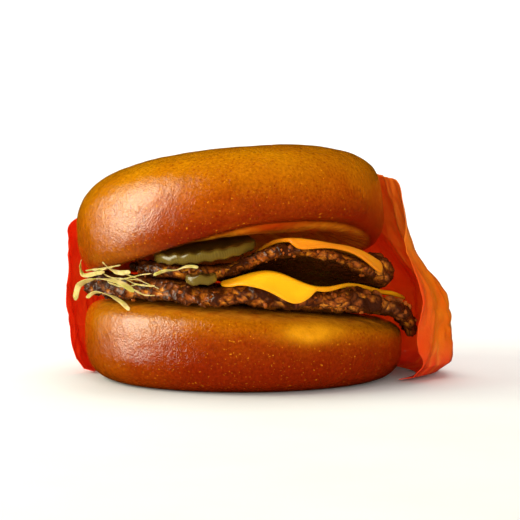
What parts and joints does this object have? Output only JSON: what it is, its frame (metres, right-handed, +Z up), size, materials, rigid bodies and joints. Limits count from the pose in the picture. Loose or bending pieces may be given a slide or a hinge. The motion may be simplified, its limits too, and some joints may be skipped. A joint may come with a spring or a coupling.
{
  "type": "double cheeseburger",
  "caption": "Double cheeseburger with smashed patties, melted cheese, pickle and lettuce in a glossy bun, held in a red waxed paper pocket that is open at the front.",
  "frame": {"origin": "centre of the heel's flat base, on the surface that the burger stands on", "axes": "+Z up through the bun; -Y towards the open side where the filling shows; the paper flares out towards +X"},
  "size_m": [0.1279, 0.115, 0.0769],
  "materials": {
    "bun_crust": "glossy egg-washed golden brown bread crust",
    "seared_beef": "dark seared beef with greasy highlights",
    "melted_cheese": "soft melted yellow-orange cheese",
    "pickle": "wet olive green pickle",
    "lettuce": "pale wet shredded lettuce",
    "waxed_paper": "red waxed paper, glossy and slightly see-through"
  },
  "bodies": {
    "root": {"bun_heel": "bun_crust", "bun_crown": "bun_crust", "patty_lower": "seared_beef", "patty_upper": "seared_beef", "cheese_lower": "melted_cheese", "cheese_upper": "melted_cheese", "pickle_slice_1": "pickle", "pickle_slice_2": "pickle", "lettuce_shred_1": "lettuce", "lettuce_shred_2": "lettuce", "lettuce_shred_3": "lettuce", "lettuce_shred_4": "lettuce", "lettuce_shred_5": "lettuce", "paper_pocket": "waxed_paper"}
  },
  "joints": []
}
